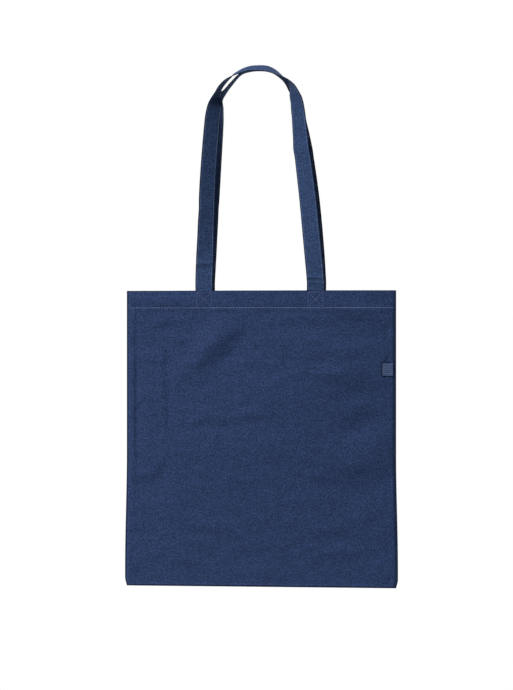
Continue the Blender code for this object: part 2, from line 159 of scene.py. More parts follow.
# Small folds, given in the same way: the cloth steps outwards across each, towards its upper side
FRONT_FOLDS = (
    (-0.0440, 0.0745, 0.036, 0.0170, 0.00560, 51.0),
    (-0.0860, 0.0760, 0.036, 0.0180, -0.00380, 52.0),
    (-0.1250, 0.0090, 0.060, 0.0110, -0.00220, 0.0),
    (0.0280, 0.0370, 0.013, 0.0080, -0.00170, 0.0),
    (0.1080, 0.0300, 0.085, 0.0036, 0.00110, 0.0),
    (-0.0900, 0.0300, 0.060, 0.0036, 0.00080, 0.0),
    (0.1150, 0.0730, 0.045, 0.0160, -0.00320, -8.0),
    (0.1520, 0.2050, 0.034, 0.0140, -0.00280, 0.0),
    (-0.0100, 0.3850, 0.024, 0.0180, -0.00340, 0.0),
    (-0.1620, 0.0850, 0.024, 0.0120, -0.00220, 0.0),
    (-0.1560, 0.2950, 0.026, 0.0120, -0.00260, 0.0),
    (-0.1710, 0.0160, 0.010, 0.0040, 0.00150, 90.0),
    (0.1835, 0.4080, 0.009, 0.0022, -0.00130, 80.0),
    (-0.0300, 0.1810, 0.055, 0.0090, 0.00330, 4.0),
    (-0.0850, 0.1850, 0.014, 0.0070, 0.00230, 30.0),
    (-0.0480, 0.1900, 0.012, 0.0060, 0.00180, -25.0),
    (0.1000, 0.1230, 0.030, 0.0140, 0.00400, 6.0),
    (0.1310, 0.1360, 0.032, 0.0210, 0.00680, 12.0),
    (0.1400, 0.1720, 0.026, 0.0170, 0.00580, 20.0),
    (0.0600, 0.2420, 0.024, 0.0070, 0.00250, -4.0),
    (0.0840, 0.2650, 0.028, 0.0095, 0.00440, -14.0),
    (0.1450, 0.2540, 0.036, 0.0270, 0.01120, 2.0),
    (-0.1343, 0.1405, 0.085, 0.0066, 0.00300, 92.0),
    (-0.1780, 0.1540, 0.120, 0.0046, 0.00360, 90.0),
    (-0.1640, 0.2640, 0.020, 0.0110, 0.00500, 6.0),
    (-0.1420, 0.2500, 0.014, 0.0085, 0.00320, 60.0),
    (-0.1730, 0.1620, 0.0100, 0.0045, 0.00260, 42.0),
    (-0.0694, 0.3380, 0.026, 0.0110, 0.00440, -22.0),
    (-0.1050, 0.3330, 0.020, 0.0070, 0.00150, -12.0),
    (0.1070, 0.3400, 0.030, 0.0130, 0.00520, 8.0),
    (0.0500, 0.3300, 0.024, 0.0075, 0.00190, 10.0),
    (0.1180, 0.3720, 0.030, 0.0110, 0.00360, 4.0),
    (-0.1050, 0.3860, 0.030, 0.0100, 0.00320, -6.0),
    (0.1430, 0.0400, 0.044, 0.0140, 0.00560, -14.0),
    (-0.1250, 0.0480, 0.034, 0.0080, 0.00240, 10.0),
    (0.0300, 0.1300, 0.050, 0.0080, 0.00120, 24.0),
    (-0.1000, 0.1180, 0.030, 0.0090, 0.00200, 35.0),
    (-0.1760, 0.3380, 0.012, 0.0060, 0.00220, 4.0),
)
BACK_FOLDS = (
    (0.0500, 0.1750, 0.050, 0.0080, 0.00240, -6.0),
    (-0.1200, 0.1500, 0.034, 0.0200, 0.00600, -24.0),
    (-0.1300, 0.2700, 0.036, 0.0140, 0.00450, 6.0),
    (0.1765, 0.1500, 0.120, 0.0040, 0.00180, 90.0),
    (-0.0200, 0.3300, 0.050, 0.0100, 0.00280, 20.0),
)

# Crumples all over a panel: height, cells per metre across and up, seed
CRUMPLES = ((0.00105, 38.0, 62.0, 3.0), (0.00050, 90.0, 150.0, 5.0))
# Step under the hem's stitches and pucker along the side seam: height, distance, half length
HEM_STEP = (0.00028, 0.0034, 0.0022)
SEAM_PUCKER = (0.00022, 0.009, 0.005)
HEM_PUCKER = 0.00020
HEM_PUCKER_REACH = 0.011
CREASE_FADE = 0.010          # creases fade out this near to the side edge

# Route of a handle: place across and up, share of the way to the hook's depth, turn
FRONT_ROUTE = (
    (-1.000, 0.045, 0.00, 0.0),
    (-0.975, 0.227, 0.20, 24.0),
    (-0.935, 0.496, 0.45, 32.0),
    (-0.852, 0.766, 0.72, 35.0),
    (-0.815, 0.822, 0.79, 40.0),
    (-0.786, 0.854, 0.85, 56.0),
    (-0.758, 0.882, 0.91, 75.0),
    (-0.720, 0.909, 0.97, 85.0),
    (-0.628, 0.938, 1.00, 90.0),
    (-0.530, 0.958, 1.00, 97.0),
    (-0.440, 0.974, 1.00, 105.0),
    (-0.220, 0.996, 1.00, 112.0),
    (-0.010, 0.999, 1.00, 115.0),
    (0.126, 0.995, 1.00, 115.0),
    (0.265, 0.980, 1.00, 109.0),
    (0.404, 0.957, 1.00, 95.0),
    (0.466, 0.944, 1.00, 88.0),
    (0.530, 0.928, 1.00, 80.0),
    (0.590, 0.909, 0.98, 72.0),
    (0.618, 0.895, 0.96, 65.0),
    (0.635, 0.880, 0.94, 56.0),
    (0.646, 0.862, 0.92, 47.0),
    (0.682, 0.800, 0.87, 39.0),
    (0.735, 0.660, 0.72, 28.0),
    (0.850, 0.427, 0.45, 14.0),
    (0.940, 0.200, 0.20, 7.0),
    (1.000, 0.045, 0.00, 0.0),
)
BACK_ROUTE = (
    (-1.000, 0.045, 0.00, 0.0),
    (-0.952, 0.227, 0.20, 25.0),
    (-0.885, 0.496, 0.45, 32.0),
    (-0.822, 0.766, 0.72, 35.0),
    (-0.812, 0.832, 0.80, 42.0),
    (-0.775, 0.873, 0.90, 64.0),
    (-0.672, 0.901, 0.96, 85.0),
    (-0.545, 0.940, 1.00, 90.0),
    (-0.370, 0.985, 1.00, 94.0),
    (-0.200, 0.998, 1.00, 96.0),
    (-0.010, 1.000, 1.00, 97.0),
    (0.126, 0.996, 1.00, 96.0),
    (0.232, 0.986, 1.00, 94.0),
    (0.366, 0.964, 1.00, 89.0),
    (0.450, 0.946, 1.00, 80.0),
    (0.545, 0.916, 0.97, 64.0),
    (0.606, 0.874, 0.93, 54.0),
    (0.655, 0.804, 0.87, 42.0),
    (0.762, 0.660, 0.72, 28.0),
    (0.885, 0.427, 0.45, 14.0),
    (0.965, 0.200, 0.20, 7.0),
    (1.000, 0.045, 0.00, 0.0),
)
# Dents across a strap: leg, height above the top edge, depth (less than 0 where the strap
# stands out), half length
STRAP_DENTS = (
    (-1, 0.0024, 0.0013, 0.0013),
    (-1, 0.0385, -0.0026, 0.0034),
    (-1, 0.1150, -0.0014, 0.0100),
    (1, 0.0032, 0.0008, 0.0012),
    (1, 0.0105, -0.0019, 0.0019),
    (1, 0.0180, -0.0022, 0.0020),
    (1, 0.1980, -0.0018, 0.0090),
    (1, 0.2765, -0.0027, 0.0075),
)
DENT_SLANT = 0.1


# Cloth on its flat cut

def ease(low, high, value):
    """0 below low, 1 above high, and a smooth rise between them."""
    share = min(max((value - low) / (high - low), 0.0), 1.0)
    return share * share * (3.0 - 2.0 * share)


def cloth_grid(columns, rows, place, cut):
    """A grid of cloth with each corner put in its place. cut gives the corner's place on the
    flat cut, which the fabric's pattern follows."""
    shape = bmesh.new()
    chart = shape.loops.layers.uv.new("flat_cut")
    bmesh.ops.create_grid(shape, x_segments=columns - 1, y_segments=rows - 1, size=1.0)
    steps = {}
    for corner in shape.verts:
        i = round((corner.co.x + 1.0) / 2.0 * (columns - 1))
        j = round((corner.co.y + 1.0) / 2.0 * (rows - 1))
        steps[corner] = (i, j)
    for face in shape.faces:
        for loop in face.loops:
            loop[chart].uv = cut(*steps[loop.vert])
    for corner, step in steps.items():
        corner.co = place(*step)
    return shape


def ended(name, shape):
    """The mesh of a shape that is done; the shape itself is freed."""
    mesh = bpy.data.meshes.new(name)
    shape.to_mesh(mesh)
    shape.free()
    return mesh


def in_scene(name, data):
    """A new object in the scene."""
    made = bpy.data.objects.new(name, data)
    bpy.context.scene.collection.objects.link(made)
    return made


def piece(name, shape, finish):
    """Turns a shape into a named piece of the bag."""
    mesh = ended(name, shape)
    mesh.materials.append(finish)
    mesh.shade_smooth()
    made = in_scene(name, mesh)
    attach(made, "root")
    return made


def thicken(cloth, thickness, offset):
    """Gives a single layer of cloth its thickness."""
    wall = cloth.modifiers.new("thickness", "SOLIDIFY")
    wall.thickness = thickness
    wall.offset = offset
    wall.use_even_offset = False


# Form of the bag body

def half_width(z):
    """Half the bag's width at a height: flared low down, tucked in at the corners."""
    share = (z - BOTTOM_Z) / BAG_HEIGHT
    flare = BOTTOM_FLARE * (1.0 - ease(0.06, FLARE_SHARE, share))
    tuck = CORNER_TUCK * (1.0 - ease(0.0, CORNER_RISE, z - BOTTOM_Z)) ** 2
    return BAG_WIDTH / 2 + flare - tuck


def bulge(z):
    """How far the middle of a panel stands out beyond its side edges."""
    share = min(max((z - BOTTOM_Z) / BAG_HEIGHT, 0.0), 1.0)
    belly = ease(0.0, 0.5, share) ** 0.6 * (1.0 - ease(0.45, 1.0, share))
    return MOUTH_DEPTH / 2 * share + BELLY_DEPTH / 2 * belly


def crest(from_x, from_z, long_half, short_half, tilt):
    """Height of one soft ridge of height 1 at a place near its middle."""
    angle = math.radians(tilt)
    along = from_x * math.cos(angle) + from_z * math.sin(angle)
    over = from_z * math.cos(angle) - from_x * math.sin(angle)
    return math.exp(-(along / long_half) ** 2 - (over / short_half) ** 2)


def fold(from_x, from_z, long_half, short_half, tilt):
    """Height of a soft step near its middle: low on one side of its line, high on the other."""
    angle = math.radians(tilt)
    over = from_z * math.cos(angle) - from_x * math.sin(angle)
    return over / short_half * crest(from_x, from_z, long_half, short_half, tilt)


def wave_height(side, x, z):
    """Soft waves of one panel, fading out at the hem, sides and bottom."""
    total = 0.0
    for across, down, long_half, short_half, height, tilt in (
            FRONT_WAVES if side < 0 else BACK_WAVES):
        from_x = x - across * BAG_WIDTH / 2
        from_z = z - (TOP_Z - down * BAG_HEIGHT)
        total += height * crest(from_x, from_z, long_half, short_half, tilt)
    edge = 1.0 - abs(x) / (half_width(z) - FOLD_RADIUS)
    share = (z - BOTTOM_Z) / BAG_HEIGHT
    return total * ease(0.0, 0.12, edge) * ease(0.0, 0.15, share) * (1 - ease(0.88, 0.94, share))


def crease_height(side, x, z):
    """Small ridges and folds, the puckers under the hem's stitches and along the side seams,
    and the dent in which the ribbon lies."""
    total = 0.0
    ridges, folds = (FRONT_RIDGES, FRONT_FOLDS) if side < 0 else (BACK_RIDGES, BACK_FOLDS)
    for form, creases in ((crest, ridges), (fold, folds)):
        for across, down, long_half, short_half, height, tilt in creases:
            total += height * form(x - across, z - (TOP_Z - down), long_half, short_half, tilt)
    for height, across_rate, up_rate, seed in CRUMPLES:
        place = Vector((x * across_rate, side * seed, z * up_rate))
        total += height * random_field.noise(place)
    share = (z - BOTTOM_Z) / BAG_HEIGHT
    below = TOP_Z - HEM_STITCH_DROP - z
    height, drop, half = HEM_STEP
    total += height * fold(0.0, drop - below, BAG_WIDTH, half, 0.0)
    if below > 0.0:
        ripple = math.sin(x * 690.0 + side) + 0.7 * math.sin(x * 405.0 + 2.0 * side)
        total += HEM_PUCKER * ripple * math.exp(-below / HEM_PUCKER_REACH)
    inward = half_width(z) - abs(x)
    pucker = math.sin(z * 510.0) + 0.7 * math.sin(z * 233.0 + 1.3)
    height, from_edge, half = SEAM_PUCKER
    total += height * pucker * math.exp(-((inward - from_edge) / half) ** 2)
    if side < 0:
        total -= RIBBON_DENT * ribbon_bed(x, z)
    reach = half_width(z) - FOLD_RADIUS
    return total * ease(0.0, CREASE_FADE, reach - abs(x)) * ease(0.0, 0.03, share)


def ribbon_bed(x, z):
    """1 under the ribbon and 0 a little way round it."""
    end = half_width(z) - SEAM_SETBACK
    tip = end - RIBBON_LENGTH
    across = ease(tip - BED_FADE, tip + BED_EDGE, x) * (1.0 - ease(end - 0.001, end + 0.001, x))
    off = abs(z - TOP_Z + RIBBON_DROP) - RIBBON_HEIGHT / 2
    return across * (1.0 - ease(-BED_EDGE, BED_FADE, off))


def panel_y(side, x, z, inset=0.0, plain=False):
    """Depth of a panel's surface: side is -1 at the front, 1 at the back."""
    reach = half_width(z) - FOLD_RADIUS
    share = min(abs(x) / reach, 1.0)
    depth = FOLD_RADIUS - inset + bulge(z) * (1.0 - share ** PANEL_CURVE)
    if not plain:
        from_stitch = (z - TOP_Z + HEM_STITCH_DROP) / STITCH_SPREAD
        depth += wave_height(side, x, z) - STITCH_DIP * math.exp(-3 * from_stitch ** 2)
        depth += crease_height(side, x, z)
    return side * depth


def panel_slope(side, x, z):
    """Turn of a panel about the vertical at a place, in radians."""
    step = 0.001
    rise = panel_y(side, x + step, z, plain=True) - panel_y(side, x - step, z, plain=True)
    return math.atan2(rise, 2 * step)


def seam_groove(side, x, z):
    """Depth of the groove where the two panels meet in the side seam."""
    past = -side * x - half_width(z) + SEAM_SETBACK
    strip = EDGE_PRESS * ease(-PRESS_LEAD, SEAM_SETBACK - FOLD_RADIUS, past)
    return strip + GROOVE_DEPTH * math.exp(-(past / GROOVE_HALF) ** 2)


def even_steps(low, high, step):
    """Places from low to high at about that spacing, the last one left out."""
    count = max(1, round((high - low) / step))
    return [low + (high - low) * i / count for i in range(count)]


def stretches(stops, end):
    """Places from the first stop to the end, the end left out. Each stop is where a stretch
    starts and the step between its places."""
    places = []
    for (low, step), high in zip(stops, [start for start, _ in stops[1:]] + [end]):
        places += even_steps(low, high, step)
    return places


def around_places():
    """The columns round the bag as (region, share): from the right side seam over the front
    panel, round the left edge, over the back panel and round the right edge to the seam."""
    rim = stretches(((RIM_SHARE, 0.0045), (0.985, 0.0021)), EDGE_SHARE)
    fine = stretches(((0.0, 0.019), (0.68, 0.014), (0.88, 0.0058)), RIM_SHARE) + rim
    plain = stretches(((0.0, 0.034), (0.68, 0.020)), RIM_SHARE) + rim
    right_to_left = [EDGE_SHARE] + fine[:0:-1] + [0.0] + [-x for x in fine[1:]] + [-EDGE_SHARE]
    seam = (BAG_WIDTH / 2 - SEAM_SETBACK) / (BAG_WIDTH / 2 - FOLD_RADIUS)
    front = [("front", s) for s in right_to_left if s < seam]
    strip = [("front", s) for s in right_to_left if s >= seam]
    left_to_right = [-EDGE_SHARE] + [-x for x in plain[:0:-1]] + plain + [EDGE_SHARE]
    back = [("back", s) for s in left_to_right]
    left = [("left", a) for a in (20.0, 45.0, 70.0, 90.0, 110.0, 135.0, 160.0)]
    right = [("right", 180.0 - a) for _, a in left]
    round_it = front + left + back + right + strip
    return round_it + [front[0]]


def up_places():
    """The rows from the bottom fold over the top edge and down the hem inside, as (height,
    inset, squeeze): a squeeze of 0 brings front and back together."""
    rows = []
    for angle in (0.0, 15.0, 35.0, 60.0):
        turn = math.radians(angle)
        rows.append((BOTTOM_Z + FOLD_RADIUS * (1.0 - math.cos(turn)), 0.0, math.sin(turn)))
    stitch = TOP_Z - HEM_STITCH_DROP
    lip = FLAP_INSET / 2
    ribbon_top = TOP_Z - RIBBON_DROP + RIBBON_HEIGHT / 2 + BED_MARGIN
    ribbon_foot = TOP_Z - RIBBON_DROP - RIBBON_HEIGHT / 2 - BED_MARGIN
    heights = stretches(((BOTTOM_Z + FOLD_RADIUS, 0.0016), (BOTTOM_Z + FOOT_BAND, 0.0034),
                         (ribbon_foot, 0.0011), (ribbon_top, 0.0032),
                         (stitch - STITCH_BAND, 0.0014), (stitch - STITCH_SPREAD, 0.0005),
                         (stitch + STITCH_SPREAD, 0.0028)), TOP_Z - lip)
    rows += [(z, 0.0, 1.0) for z in heights]
    for angle in (0.0, 30.0, 60.0, 90.0, 120.0, 150.0):
        turn = math.radians(angle)
        rows.append((TOP_Z - lip + lip * math.sin(turn), lip * (1.0 - math.cos(turn)), 1.0))
    rows += [(z, FLAP_INSET, 1.0) for z in even_down(TOP_Z - lip, TOP_Z - HEM_DEPTH, 0.0022)]
    return rows


def even_down(high, low, step):
    """Places from high down to low, both ends with it."""
    count = max(1, round((high - low) / step))
    return [high + (low - high) * i / count for i in range(count + 1)]


def shell_corner(region, share, z, inset, squeeze):
    """One corner of the body's outer surface."""
    reach = half_width(z) - FOLD_RADIUS
    if region in ("front", "back"):
        side = -1 if region == "front" else 1
        x = share * reach / EDGE_SHARE
        y = panel_y(side, x, z, inset) - side * seam_groove(side, x, z) * (inset == 0.0)
        return Vector((x, y * squeeze, z))
    sign = -1.0 if region == "left" else 1.0
    turn = math.radians(share)
    radius = FOLD_RADIUS - inset
    press = EDGE_PRESS if region == "right" and inset == 0.0 else 0.0
    x = sign * (reach + radius * math.sin(turn))
    return Vector((x, (press - radius) * math.cos(turn) * squeeze, z))


def lengths_along(points):
    """Distance from the first point to each, along the row."""
    total = [0.0]
    for near, far in zip(points, points[1:]):
        total.append(total[-1] + (far - near).length)
    return total


def mark_edge_shade(shape, from_edge):
    """Writes how near each corner is to an outer edge, for the painted edge shade: 1 on the edge,
    0 at EDGE_SHADE_WIDTH from it. from_edge gives that distance for a place on the flat cut."""
    chart = shape.loops.layers.uv["flat_cut"]
    rim = shape.loops.layers.float.new("rim")
    for face in shape.faces:
        for loop in face.loops:
            loop[rim] = max(0.0, 1.0 - from_edge(*loop[chart].uv) / EDGE_SHADE_WIDTH)


def build_shell(finish):
    """The folded and hemmed sheet of the body."""
    columns = around_places()
    rows = up_places()
    middle = TOP_Z - BAG_HEIGHT / 2
    across = lengths_along([shell_corner(r, s, middle, 0.0, 1.0) for r, s in columns])
    up = lengths_along([Vector((0.0, inset + FOLD_RADIUS * (1 - squeeze), z))
                        for z, inset, squeeze in rows])
    shape = cloth_grid(len(columns), len(rows),
                       lambda i, j: shell_corner(*columns[i], *rows[j]),
                       lambda i, j: (across[i], up[j]))
    left, right = [across[columns.index((region, 90.0))] for region in ("left", "right")]
    mouth = up[len(rows) - 1 - sum(1 for row in rows if row[1] > FLAP_INSET / 2)]
    # the painted edge shade runs along the bottom fold, the side edges and the mouth
    mark_edge_shade(shape, lambda u, v: min(v, abs(u - left), abs(u - right),
                                     MOUTH_EDGE_SHADE * abs(v - mouth)))
    bmesh.ops.remove_doubles(shape, verts=shape.verts, dist=0.00002)
    bmesh.ops.reverse_faces(shape, faces=shape.faces)
    made = piece("bag_shell", shape, finish)
    thicken(made, FABRIC, -1.0)
    return made


def build_allowance(name, sign, finish):
    """The two turned-in edges of one side seam, which lie flat together inside."""
    low, high = BOTTOM_Z + ALLOWANCE_FOOT, TOP_Z - HEM_DEPTH - ALLOWANCE_HEAD
    columns, rows = 9, 120

    def place(i, j):
        z = low + (high - low) * j / (rows - 1)
        seam = half_width(z) - SEAM_SETBACK
        inward = SEAM_ALLOWANCE * i / (columns - 1)
        wall = -sign * (FOLD_RADIUS - FABRIC - ALLOWANCE_GAP)
        sway = 0.0005 * math.sin(z * 95.0) + 0.0003 * math.sin(z * 241.0)
        y = wall * (1.0 - ease(0.0, 0.004, inward)) + sway * ease(0.002, SEAM_ALLOWANCE, inward)
        return Vector((sign * (seam - inward), y, z))

    shape = cloth_grid(columns, rows, place,
                       lambda i, j: (SEAM_ALLOWANCE * i / (columns - 1),
                                     (high - low) * j / (rows - 1)))
    bmesh.ops.recalc_face_normals(shape, faces=shape.faces)
    made = piece(name, shape, finish)
    thicken(made, 2 * FABRIC, 0.0)
    return made


# Form of the handles

def smooth_path(stops):
    """Places on a smooth curve through the stops, each with the curve's direction there."""
    lengths = [(far - near).to_3d().length for near, far in zip(stops, stops[1:])]
    rates = [(stops[1] - stops[0]) / lengths[0]]
    for i in range(1, len(stops) - 1):
        rates.append((stops[i + 1] - stops[i - 1]) / (lengths[i - 1] + lengths[i]))
    rates.append((stops[-1] - stops[-2]) / lengths[-1])
    places = []
    for i, length in enumerate(lengths):
        near, far = stops[i], stops[i + 1]
        start, end = rates[i] * length, rates[i + 1] * length
        pitch = FINE_PITCH if max(near[2], far[2]) < TOP_Z + FINE_LENGTH else STRAP_PITCH
        steps = max(4, round(length / pitch))
        for step in range(steps):
            t = step / steps
            place = (near * (1 + 2 * t) * (1 - t) ** 2 + start * t * (1 - t) ** 2
                     + far * t * t * (3 - 2 * t) + end * t * t * (t - 1))
            slope = ((far - near) * 6 * t * (1 - t) + start * (1 - t) * (1 - 3 * t)
                     + end * t * (3 * t - 2))
            places.append((place, slope))
    places.append((stops[-1], rates[-1]))
    return places


def strap_depth(side, x, z):
    """Depth of the middle of a strap that lies on the inner face of the hem."""
    inset = FLAP_INSET + STITCH_DIP + LAYER_GAP + STRAP_THICKNESS / 2
    return panel_y(side, x, z, inset, plain=True)


def handle_stops(side, route):
    """Middle line and turn of a handle as four-number stops: x, y, z and turn."""
    stops = []
    for across, up, share, turn in route:
        x = side * HANDLE_SHIFT * (1.0 - share) + across * HANDLE_SPACING / 2
        foot_x = side * HANDLE_SHIFT + math.copysign(HANDLE_SPACING / 2, across)
        start = strap_depth(side, foot_x, TOP_Z)
        y = start + (side * HOOK_OFFSET - start) * share
        z = TOP_Z + (HANDLE_RISE + STRAP_THICKNESS / 2) * up
        stops.append(Vector((x, y, z, math.radians(turn))))
    for end in (0, -1):
        lip = stops[end].copy()
        lip[2] = TOP_Z
        lip[3] = panel_slope(side, lip[0], TOP_Z) * -math.copysign(1.0, lip[0])
        stops[end][3] = lip[3]
        foot = lip.copy()
        foot[2] = TOP_Z - STRAP_TAIL
        foot[1] = strap_depth(side, foot[0], foot[2])
        stops = [foot, lip, *stops] if end == 0 else [*stops, lip, foot]
    return stops


def strap_frames(side, route):
    """Middle, direction across and direction through the strap at each row of it."""
    frames = []
    for place, slope in smooth_path(handle_stops(side, route)):
        along = Vector(slope[:3]).normalized()
        outward = along.cross(Vector((0.0, 1.0, 0.0))).normalized()
        forward = along.cross(outward)
        turn = place[3]
        width_way = outward * math.cos(turn) + forward * math.sin(turn)
        frames.append((Vector(place[:3]), width_way, along.cross(width_way)))
    return frames


def strap_dent(centre, across):
    """How far a strap is pushed towards the other one at a place. A dent runs a little aslant
    and is twice as deep at the edge that is on the left from the front."""
    total = 0.0
    for leg, rise, depth, half in STRAP_DENTS:
        if leg * centre.x > 0.0:
            over = (centre.z - TOP_Z - rise + across * DENT_SLANT) / half
            total += depth * math.exp(-over ** 2) * (0.75 - across / STRAP_WIDTH * leg * 0.5)
    return total


def strip_section():
    """The strip's folded section as places across and through: both raw edges are turned in
    and the strip is folded once more, so one edge is a fold and the other is open."""
    half = STRAP_WIDTH / 2
    outer, inner = 1.5 * LAYER_PITCH, 0.5 * LAYER_PITCH
    fold_edge, open_edge = -half + outer, half - inner
    near_edge = [half - 0.0035, half - EDGE_STITCH_INSET, half - 0.0009]
    flats = [0.0028 - half, -0.006, 0.0, 0.006, *near_edge]
    section = [(x, inner) for x in flats] + [(open_edge, inner)]
    for angle in (45.0, 90.0, 135.0):
        turn = math.radians(angle)
        section.append((open_edge + inner * math.sin(turn), 2 * inner - inner * math.cos(turn)))
    face = [open_edge, *reversed(near_edge), 0.006, 0.002, -0.002, -0.006,
            0.0035 - half, EDGE_STITCH_INSET - half, fold_edge]
    section += [(x, outer) for x in face]
    for angle in (30.0, 60.0, 90.0, 120.0, 150.0):
        turn = math.radians(angle)
        section.append((fold_edge - outer * math.sin(turn), outer * math.cos(turn)))
    section += [(x, -outer) for x in reversed(face)]
    for angle in (135.0, 90.0, 45.0):
        turn = math.radians(angle)
        section.append((open_edge + inner * math.sin(turn), -2 * inner + inner * math.cos(turn)))
    return section + [(open_edge, -inner)] + [(x, -inner) for x in reversed(flats)]


def puffed(across, through):
    """The outer layers pulled in at the edge stitches and puffed up between them."""
    if abs(through) < LAYER_PITCH:
        return through
    half = STRAP_WIDTH / 2
    from_stitch = (abs(across) - (half - EDGE_STITCH_INSET)) / PULL_HALF
    pull = PULL_DEPTH * math.exp(-from_stitch ** 2)
    puff = PUFF_HEIGHT * max(0.0, 1.0 - (across / (half - PUFF_INSET)) ** 2)
    return math.copysign(abs(through) - pull + puff, through)


def build_strap(name, side, route, finish):
    """A handle: a strip folded into four layers that follows its route over the hook."""
    frames = strap_frames(side, route)
    section = strip_section()
    across = lengths_along([Vector((x, y, 0.0)) for x, y in section])
    along = lengths_along([centre for centre, _, _ in frames])

    def place(i, j):
        centre, width_way, thick_way = frames[j]
        x, through = section[i]
        shift = puffed(x, through) + strap_dent(centre, x) * side
        return centre + width_way * x + thick_way * shift

    shape = cloth_grid(len(section), len(frames), place, lambda i, j: (across[i], along[j]))
    ends = [length for (x, _), length in zip(section, across)
            if STRAP_WIDTH / 2 - abs(x) < STRAP_EDGE]
    # the painted edge shade runs along the strap's sides
    mark_edge_shade(shape, lambda u, v: STRAP_EDGE_SHADE * min(abs(u - end) for end in ends))
    bmesh.ops.recalc_face_normals(shape, faces=shape.faces)
    made = piece(name, shape, finish)
    thicken(made, STRAP_LAYER, 0.0)
    return made


# Form of the ribbon

def build_ribbon(finish):
    """A ribbed ribbon folded in half. Its ends lie in the side seam and its fold stands off."""
    bends = (25.0, 60.0, 90.0, 120.0, 155.0)
    steps = 17
    columns, rows = 2 * (steps + 1) + len(bends), 4 * RIBS + 1
    flat = RIBBON_LENGTH - RIBBON_NOSE
    low, high = LAYER_GAP + RIBBON_LAYER / 2, LAYER_GAP * 2 + RIBBON_LAYER * 1.5
    nose = (high - low) / 2 + RIBBON_SPREAD / 2

    def outline(z):
        end = half_width(z) - SEAM_SETBACK - RIBBON_TUCK
        tip = end - RIBBON_LENGTH
        points = [(end - flat * i / steps, low) for i in range(steps + 1)]
        for angle in bends:
            turn = math.radians(angle)
            points.append((tip + RIBBON_NOSE - RIBBON_NOSE * math.sin(turn),
                           low + nose - nose * math.cos(turn)))
        for i in range(steps + 1):
            x = tip + RIBBON_NOSE + flat * i / steps
            points.append((x, high + RIBBON_SPREAD * (1.0 - ease(tip, end, x))))
        return points

    def place(i, j):
        z = TOP_Z - RIBBON_DROP + RIBBON_HEIGHT * (j / (rows - 1) - 0.5)
        x, off = outline(z)[i]
        rib = RIB_HEIGHT * math.cos(j * math.pi / 2)
        from_seam = half_width(z) - SEAM_SETBACK - x
        lift = RIBBON_LIFT * ease(-0.5, 1.0, from_seam / RIBBON_LENGTH)
        out = off + lift * ease(0.0, RIBBON_LENGTH, from_seam)
        y = panel_y(-1, x, z, plain=True) - wave_height(-1, x, z)
        return Vector((x, y - out - rib, z))

    shape = cloth_grid(columns, rows, place,
                       lambda i, j: (RIBBON_CUT[1] * i / (columns - 1),
                                     RIBBON_HEIGHT * j / (rows - 1)))
    bmesh.ops.recalc_face_normals(shape, faces=shape.faces)
    made = piece("ribbon_loop", shape, finish)
    thicken(made, RIBBON_LAYER, 0.0)
    return made


# Sewing thread

def build_stitch():
    """One stitch of thread, a slim rounded bar of length 2 along X, copied for each one sewn."""
    shape = bmesh.new()
    bmesh.ops.create_uvsphere(shape, u_segments=6, v_segments=4, radius=1.0,
                              matrix=Matrix.Rotation(math.pi / 2, 4, "Y"))
    return ended("stitch", shape)


def sew(shape, path, outwards, pitch, length, width):
    """Stitches along a path, each a slim rounded thread half sunk in the cloth."""
    along = lengths_along(path)
    count = int((along[-1] - length) / pitch) + 1
    start = (along[-1] - (count - 1) * pitch) / 2
    size = Matrix.Diagonal((length / 2, width / 2, width * 0.42, 1.0))
    k = 0
    for n in range(count):
        at = start + n * pitch
        while k < len(path) - 2 and along[k + 1] < at:
            k += 1
        share = (at - along[k]) / max(along[k + 1] - along[k], 1e-9)
        middle = path[k].lerp(path[k + 1], share)
        ahead = (path[k + 1] - path[k]).normalized()
        out = outwards[k].lerp(outwards[k + 1], share).normalized()
        flank = out.cross(ahead).normalized()
        turn = Matrix((ahead, flank, ahead.cross(flank))).transposed().to_4x4()
        one = STITCH.copy()
        one.transform(Matrix.Translation(middle) @ turn @ size)
        shape.from_mesh(one)
        bpy.data.meshes.remove(one)


def sew_panel(shape, side, start, end, steps, stitch):
    """Stitches along a straight line on a panel's outer face, from (x, z) to (x, z)."""
    path = []
    for i in range(steps + 1):
        x, z = (near + (far - near) * i / steps for near, far in zip(start, end))
        path.append(Vector((x, panel_y(side, x, z) + side * PANEL_LIFT, z)))
    sew(shape, path, [Vector((0.0, float(side), 0.0))] * len(path), *stitch)


def build_hem_stitches(finish):
    """The line of stitches that holds the hem, round the whole mouth."""
    shape = bmesh.new()
    z = TOP_Z - HEM_STITCH_DROP
    reach = half_width(z) - FOLD_RADIUS - 0.001
    for side in (-1, 1):
        sew_panel(shape, side, (-reach, z), (reach, z), 190, HEM_STITCH)
    return piece("hem_stitches", shape, finish)


def build_box_stitches(finish):
    """A box with a cross at each strap end, seen on the outside of the hem."""
    shape = bmesh.new()
    half = STRAP_WIDTH / 2 - EDGE_STITCH_INSET
    top, low = TOP_Z - BOX_DROP, TOP_Z - HEM_STITCH_DROP + BOX_GAP
    for side in (-1, 1):
        for leg in (-1, 1):
            x = side * HANDLE_SHIFT + leg * HANDLE_SPACING / 2
            corners = ((x - half, top), (x + half, top), (x + half, low), (x - half, low))
            runs = [(corners[0], corners[1]), (corners[1], corners[2]), (corners[3], corners[0]),
                    (corners[0], corners[2]), (corners[1], corners[3])]
            for start, end in runs:
                sew_panel(shape, side, start, end, 8, BOX_STITCH)
    return piece("box_stitches", shape, finish)


